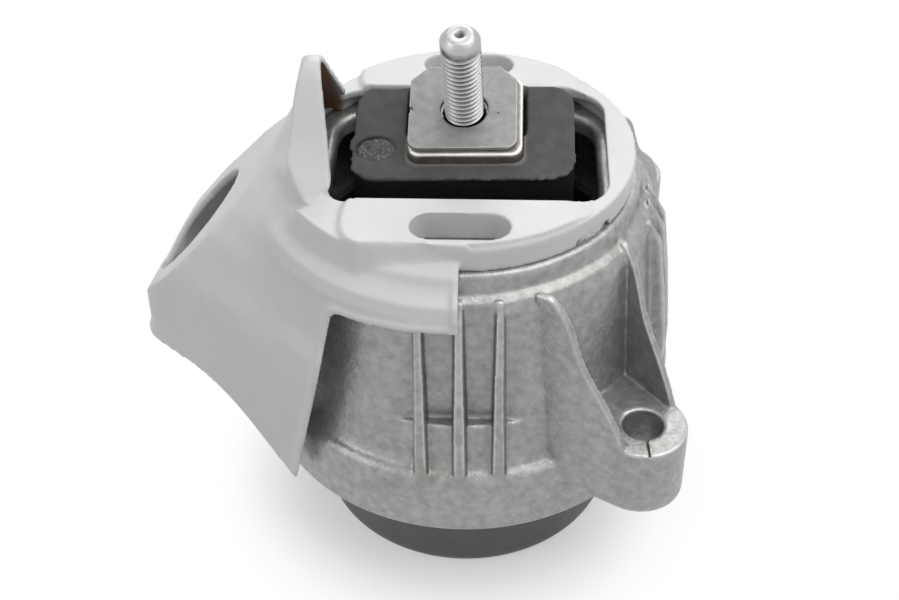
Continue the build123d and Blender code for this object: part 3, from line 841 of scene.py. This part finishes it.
def make_stud(look):
    """Threaded stud: helical thread, plain end band, chamfer, flat tip with a centre dimple."""
    points, drops = stud_points(look)
    steps = STUD_STEPS
    count = len(points) // steps
    faces = [
        (r * steps + i, r * steps + (i + 1) % steps,
         (r + 1) * steps + (i + 1) % steps, (r + 1) * steps + i)
        for r in range(count - 1) for i in range(steps)
    ]
    faces.append(tuple(reversed(range(steps))))
    faces.append(tuple((count - 1) * steps + i for i in range(steps)))
    mesh = bpy.data.meshes.new("threaded_stud")
    mesh.from_pydata([tuple(c * MM for c in point) for point in points], [], faces)
    store(mesh, "root", np.array(drops))
    work = bmesh.new()
    work.from_mesh(mesh)
    bmesh.ops.remove_doubles(work, verts=work.verts, dist=WELD)
    bmesh.ops.dissolve_degenerate(work, edges=work.edges, dist=WELD)
    work.to_mesh(mesh)
    work.free()
    mesh.transform(STUD_FRAME)
    piece = link_piece("threaded_stud", mesh)
    settle(piece, zinc_plated_steel(look), "stud_steel")
    return piece


def stud_places(mesh):
    """The mesh's points in millimetres in the stud's own frame."""
    turn = np.array(STUD_FRAME.inverted())
    points = points_of(mesh)
    return points @ turn[:3, :3].T + turn[:3, 3] / MM


def make_plate(look):
    """Stop plate with pressed round edges, and one pit that is only a spot of painted shade."""
    piece = copy_node("stop_plate", "stop_plate_pressing")
    even_mesh(piece, PLATE_GRID * MM)
    relax(piece, 8)
    mesh = piece.data
    local = stud_places(mesh)
    # Edges beyond the stud's foot are stored for painting lighter: rubbed wear and painted highlight.
    outside = smoothstep(*EDGES_LIGHTENED_FROM, np.hypot(local[:, 0], local[:, 1]))
    store(mesh, "edge", np.clip(0.5 + outside * standing_proud(mesh, 8) / 0.22, 0, 1))
    # The pit's spot, for painted shade.
    pit = np.hypot(local[:, 0] - PIT_X, local[:, 1] - PIT_Y)
    store(mesh, "speck", smoothstep(0.5, 0.2, pit))
    thin_out(piece, SMALL_PIECE)
    settle(piece, pressed_steel_plate(look), "plate_steel", "stop_plate")


def make_core(look):
    """Core with a rounded, rubbed edge on its head."""
    piece = copy_node("inner_core", "cast_core")
    even_mesh(piece, CORE_GRID * MM)
    relax(piece, 4)
    store_edges(piece.data, 0.5)
    thin_out(piece, MIDDLE_PIECE)
    settle(piece, cast_core_metal(look), "core_metal", "inner_core")


def rounded_box_gap(x, y, left, right, front, back, corner):
    """Distance in millimetres outside a rounded rectangle; inside it is negative."""
    half_x, half_y = (right - left) / 2 - corner, (back - front) / 2 - corner
    dx = np.abs(x - (left + right) / 2) - half_x
    dy = np.abs(y - (front + back) / 2) - half_y
    outside = np.hypot(np.maximum(dx, 0), np.maximum(dy, 0))
    return outside + np.minimum(np.maximum(dx, dy), 0) - corner


def push_flash(points, level, look):
    """Pushes ragged flash out of the block's upper edge at the front and left; gives how far."""
    x, y = points[:, 0], points[:, 1]
    edge_gap = -rounded_box_gap(
        x, y, -BUFFER_HALF, BUFFER_HALF, BUFFER_FRONT, BUFFER_BACK, BUFFER_CORNER,
    )
    at_edge = smoothstep(-1.1, -0.25, level) * smoothstep(1.2, 0.3, edge_gap)
    side = np.clip(smoothstep(-6.0, -11.0, y) + smoothstep(-20.0, -25.0, x), 0, 1)
    ragged = 1.5 * lumps(points, 4.2, 1) + 0.6 * lumps(points, 1.3, 2)
    out = at_edge * side * np.clip(0.25 + ragged, 0, 1.4) * look.flash / MM
    at_end = np.abs(x) > BUFFER_HALF - BUFFER_CORNER
    at_face = (y < BUFFER_FRONT + BUFFER_CORNER) | (y > BUFFER_BACK - BUFFER_CORNER)
    away = np.stack([np.where(at_end, np.sign(x), 0), np.where(at_face, np.sign(y), 0)], 1)
    away /= np.maximum(np.linalg.norm(away, axis=1), 1)[:, None]
    points[:, :2] += out[:, None] * away
    return out


def raise_lip(points, local, on_top):
    """Raises the lip round the core's head and sinks the torn gaps beside it; gives both."""
    across, along = local[:, 0], local[:, 1]
    head_gap = rounded_box_gap(
        across, along, HEAD_LEFT, HEAD_RIGHT, HEAD_FRONT, HEAD_BACK, HEAD_CORNER,
    )
    torn = smoothstep(-6, -2, along) * smoothstep(12, 9, along)
    torn *= smoothstep(11.0, 13.0, np.abs(across)) * (along < 12)
    lip = on_top * smoothstep(1.5, 0.3, head_gap) * (1 - torn)
    gap_line = on_top * torn * smoothstep(1.1, 0.5, head_gap)
    points[:, 2] += lip * LIP_HEIGHT - gap_line * GAP_DEPTH
    return lip * smoothstep(1.3, 0.5, head_gap), gap_line


def press_gate_mark(points, on_top):
    """Presses the oval gate mark into the block's top; gives its rough floor and the painted shade of its
    rim, heavier towards the back-left.
    """
    right, back = points[:, 0] - GATE_X, points[:, 1] - GATE_Y
    reach = np.hypot(right / GATE_LONG, back / GATE_SHORT)
    rough = on_top * smoothstep(GATE_RADIUS + 0.3, GATE_RADIUS - 0.3, reach)
    rim = on_top * np.exp(-((reach - GATE_RADIUS) / 0.35) ** 2)
    points[:, 2] += rough * (0.4 * lumps(points, 1.1, 3) - 0.25) - rim * 0.3
    # The rim's painted shade is heavier on its back-left side.
    shaded = smoothstep(-0.2, 0.7, (back - 0.6 * right) / GATE_RADIUS)
    return rough, rim * (0.25 + shaded)


def make_buffer(look):
    """Rubber block with its ragged flash, gate mark, raised lip and torn gaps at the head."""
    piece = copy_node("rubber_buffer", "rubber_stop_buffer")
    even_mesh(piece, look.grid)
    relax(piece, 3)
    mesh = piece.data
    points = points_of(mesh)
    local = stud_places(mesh)
    level = local[:, 2] - RUBBER_TOP
    on_top = smoothstep(-1.0, -0.4, level)
    flash = push_flash(points, level, look)
    lip, gap_line = raise_lip(points, local, on_top)
    rough, rim = press_gate_mark(points, on_top)
    points[:, 2] += on_top * 0.10 * lumps(points, 4.0, 4)
    set_points(mesh, points)
    store(mesh, "top", on_top)
    store(mesh, "gate", np.clip(rough + flash / 3, 0, 1))
    # Painted shade in the torn gaps and round the gate mark's rim.
    store(mesh, "mark", np.clip(rim + gap_line, 0, 1))
    store(mesh, "lip", lip * 0.8)
    settle(piece, moulded_rubber(look), "buffer_rubber", "rubber_buffer")


def make_cup(look):
    """Coated cup, and the finishes of the parts that are hidden inside."""
    piece = copy_node("base_cup", "coated_cup")
    even_mesh(piece, CUP_GRID * MM)
    relax(piece, 3)
    thin_out(piece, MIDDLE_PIECE)
    points = points_of(piece.data)
    points[:, 2] = np.maximum(points[:, 2], 0)
    set_points(piece.data, points)
    settle(piece, coated_steel(look), "cup_steel", "base_cup")
    rubber = inner_rubber(look)
    steel = plain_ring_steel()
    aluminium = channel_casting()
    hidden = {
        "main_spring": rubber, "decoupler_membrane": rubber, "rolling_bellows": rubber,
        "spring_ring": steel, "bellows_ring": steel,
        "upper_channel_plate": aluminium, "lower_channel_plate": aluminium,
    }
    for node, material in hidden.items():
        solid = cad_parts[node]
        solid.data.materials.clear()
        solid.data.materials.append(material)


# Stage

def seen_directly(tree):
    """1 where the camera, a reflection or a clear material looks at a surface, else 0."""
    path = add_node(tree, "ShaderNodeLightPath").outputs
    seen = add_node(
        tree, "ShaderNodeMath", {"operation": "MAXIMUM"},
        {0: path["Is Camera Ray"], 1: path["Is Glossy Ray"]},
    ).outputs[0]
    return add_node(
        tree, "ShaderNodeMath", {"operation": "MAXIMUM"}, {0: seen, 1: path["Is Transmission Ray"]},
    ).outputs[0]


def floor_material():
    """Matt white floor that keeps the shadow near the part and fades to plain white."""
    material, tree = blank("White floor")
    seen = seen_directly(tree)
    colour = add_node(
        tree, "ShaderNodeMix",
        {"data_type": "RGBA", 6: linear("#B8B8B8"), 7: linear("#FAFAFA")}, {0: seen},
    ).outputs[2]
    place = add_node(tree, "ShaderNodeTexCoord").outputs["Object"]
    distance = add_node(
        tree, "ShaderNodeVectorMath", {"operation": "LENGTH"}, {0: place},
    ).outputs["Value"]
    fade = add_node(
        tree, "ShaderNodeMapRange",
        {"From Min": SHADOW_FULL * MM, "From Max": SHADOW_GONE * MM, "To Min": 0.4, "To Max": 1.0,
         "interpolation_type": "SMOOTHSTEP"}, {"Value": distance},
    ).outputs["Result"]
    share = add_node(tree, "ShaderNodeMath", {"operation": "MULTIPLY"}, {0: fade, 1: seen}).outputs[0]
    matt = add_node(tree, "ShaderNodeBsdfDiffuse", None, {"Color": colour}).outputs["BSDF"]
    glow = add_node(
        tree, "ShaderNodeEmission", {"Color": (1, 1, 1, 1), "Strength": 1.0}
    ).outputs["Emission"]
    mixed = add_node(tree, "ShaderNodeMixShader", None, {0: share, 1: matt, 2: glow}).outputs["Shader"]
    add_node(tree, "ShaderNodeOutputMaterial", None, {"Surface": mixed})
    return material


def soft_box(name, place, aim, width, height, power):
    """A rectangular soft light at a place, turned to a point."""
    lamp = bpy.data.lights.new(name, "AREA")
    lamp.shape = "RECTANGLE"
    lamp.size, lamp.size_y = width, height
    lamp.energy = power
    light = bpy.data.objects.new(name, lamp)
    light.location = place
    light.rotation_euler = (Vector(aim) - Vector(place)).to_track_quat("-Z", "Y").to_euler()
    bpy.context.scene.collection.objects.link(light)


def white_world(strength):
    """Even light all round, plain white where the camera or a reflection sees it."""
    world = bpy.data.worlds.new("White studio")
    world.use_nodes = True
    tree = world.node_tree
    tree.nodes.clear()
    level = add_node(
        tree, "ShaderNodeMapRange", {"To Min": strength, "To Max": 1.0}, {"Value": seen_directly(tree)},
    ).outputs["Result"]
    back = add_node(
        tree, "ShaderNodeBackground", {"Color": (1, 1, 1, 1)}, {"Strength": level}
    ).outputs["Background"]
    add_node(tree, "ShaderNodeOutputWorld", None, {"Surface": back})
    bpy.context.scene.world = world


def add_camera():
    """The photograph's viewpoint: its angles, distance, roll and framing."""
    azimuth, elevation, roll = (math.radians(a) for a in (2.85, 40.5, -0.97))
    target = Vector((0, 0, 117.5))
    distance = 392.0
    picture_width, sensor_width = 899, 36
    focal_pixels = 1528.0
    shift_right, shift_up = 15.0, 160.7
    back = Vector((
        math.sin(azimuth) * math.cos(elevation),
        -math.cos(azimuth) * math.cos(elevation),
        math.sin(elevation),
    ))
    right = (-back).cross(Vector((0, 0, 1))).normalized()
    up = right.cross(-back)
    across = right * math.cos(roll) + up * math.sin(roll)
    along = up * math.cos(roll) - right * math.sin(roll)
    place = back * distance + target
    place -= (across * shift_right + along * shift_up) * distance / focal_pixels
    turn = Matrix((across, along, back)).transposed().to_4x4()
    data = bpy.data.cameras.new("Camera")
    data.sensor_fit = "HORIZONTAL"
    data.sensor_width = sensor_width
    data.lens = focal_pixels / picture_width * sensor_width
    data.clip_start = 0.01
    camera = bpy.data.objects.new("Camera", data)
    camera.matrix_world = Matrix.Translation(place * MM) @ turn
    bpy.context.scene.collection.objects.link(camera)
    bpy.context.scene.camera = camera


def make_floor(width):
    """A round floor just under the cup, finer near the part."""
    steps = 24
    points = [(0, 0, 0)]
    faces = []
    for i, radius in enumerate((0.08, 0.2, 0.6, width / 2)):
        for k in range(steps):
            angle = 2 * math.pi * k / steps
            points.append((radius * math.cos(angle), radius * math.sin(angle), 0))
        for k in range(steps):
            one, two = i * steps + 1 + k, i * steps + 1 + (k + 1) % steps
            if i == 0:
                faces.append((0, one, two))
            else:
                faces.append((one - steps, one, two, two - steps))
    mesh = bpy.data.meshes.new("floor")
    mesh.from_pydata(points, [], faces)
    floor = link_piece("floor", mesh)
    floor.location.z = -FLOOR_DROP * MM
    floor.data.materials.append(floor_material())


def make_stage(look):
    """White floor, plain world, soft boxes and the camera."""
    make_floor(look.floor)
    white_world(look.sky)
    middle = (0, 0, 0.08)
    soft_box("Key", (0.39, -0.12, 0.86), middle, 0.85, 0.85, look.key)
    soft_box("Fill", (-0.75, -0.4, 0.62), middle, 0.5, 0.5, look.fill)
    soft_box("Back", (0.06, 0.68, 0.72), middle, 0.6, 0.4, look.back)
    add_camera()
    bpy.context.scene.view_settings.view_transform = "Standard"


# Operators, panel and registration

class MOUNT_OT_heat_shield(bpy.types.Operator):
    """Builds the moulded heat shield"""
    bl_idname = "mount.heat_shield"
    bl_label = "Heat shield"

    def execute(self, context):
        make_heat_shield(context.scene.mount_shield)
        return {"FINISHED"}


class MOUNT_OT_casting(bpy.types.Operator):
    """Builds the die-cast housing"""
    bl_idname = "mount.casting"
    bl_label = "Die-cast housing"

    def execute(self, context):
        make_casting(context.scene.mount_casting)
        return {"FINISHED"}


class MOUNT_OT_stud_group(bpy.types.Operator):
    """Builds the threaded stud, the stop plate and the core"""
    bl_idname = "mount.stud_group"
    bl_label = "Stud, plate and core"

    def execute(self, context):
        look = context.scene.mount_stud
        stud = make_stud(look)
        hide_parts("engine_stud")
        make_plate(look)
        make_core(look)
        return {"FINISHED"}


class MOUNT_OT_buffer(bpy.types.Operator):
    """Builds the rubber block round the core's head"""
    bl_idname = "mount.buffer"
    bl_label = "Rubber buffer"

    def execute(self, context):
        make_buffer(context.scene.mount_rubber)
        return {"FINISHED"}


class MOUNT_OT_cup(bpy.types.Operator):
    """Builds the coated cup and finishes the inner parts"""
    bl_idname = "mount.cup"
    bl_label = "Cup and inner parts"

    def execute(self, context):
        make_cup(context.scene.mount_cup)
        return {"FINISHED"}


class MOUNT_OT_stage(bpy.types.Operator):
    """Sets up the floor, the light and the camera"""
    bl_idname = "mount.stage"
    bl_label = "Stage"

    def execute(self, context):
        make_stage(context.scene.mount_stage)
        return {"FINISHED"}


SETTINGS = {
    "mount_shield": ShieldSettings,
    "mount_casting": CastingSettings,
    "mount_stud": StudSettings,
    "mount_rubber": RubberSettings,
    "mount_cup": CupSettings,
    "mount_stage": StageSettings,
}
OPERATORS = (
    MOUNT_OT_heat_shield, MOUNT_OT_casting, MOUNT_OT_stud_group,
    MOUNT_OT_buffer, MOUNT_OT_cup, MOUNT_OT_stage,
)


class MOUNT_PT_panel(bpy.types.Panel):
    """Lists the pieces of the engine mount with their settings"""
    bl_idname = "MOUNT_PT_panel"
    bl_label = "Engine mount"
    bl_space_type = "VIEW_3D"
    bl_region_type = "UI"
    bl_category = "Engine mount"

    def draw(self, context):
        for operator, (name, group) in zip(OPERATORS, SETTINGS.items()):
            box = self.layout.box()
            for setting in group.__annotations__:
                box.prop(getattr(context.scene, name), setting)
            box.operator(operator.bl_idname)


def register():
    """Adds the settings, operators and panel to Blender."""
    for name, group in SETTINGS.items():
        bpy.utils.register_class(group)
        setattr(bpy.types.Scene, name, PointerProperty(type=group))
    for operator in OPERATORS:
        bpy.utils.register_class(operator)
    bpy.utils.register_class(MOUNT_PT_panel)


def unregister():
    """Takes the settings, operators and panel out again."""
    bpy.utils.unregister_class(MOUNT_PT_panel)
    for operator in reversed(OPERATORS):
        bpy.utils.unregister_class(operator)
    for name, group in reversed(SETTINGS.items()):
        delattr(bpy.types.Scene, name)
        bpy.utils.unregister_class(group)


def main():
    """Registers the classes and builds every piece."""
    register()
    bpy.ops.mount.heat_shield()
    bpy.ops.mount.casting()
    bpy.ops.mount.stud_group()
    bpy.ops.mount.buffer()
    bpy.ops.mount.cup()
    bpy.ops.mount.stage()


if __name__ == "__main__":
    main()
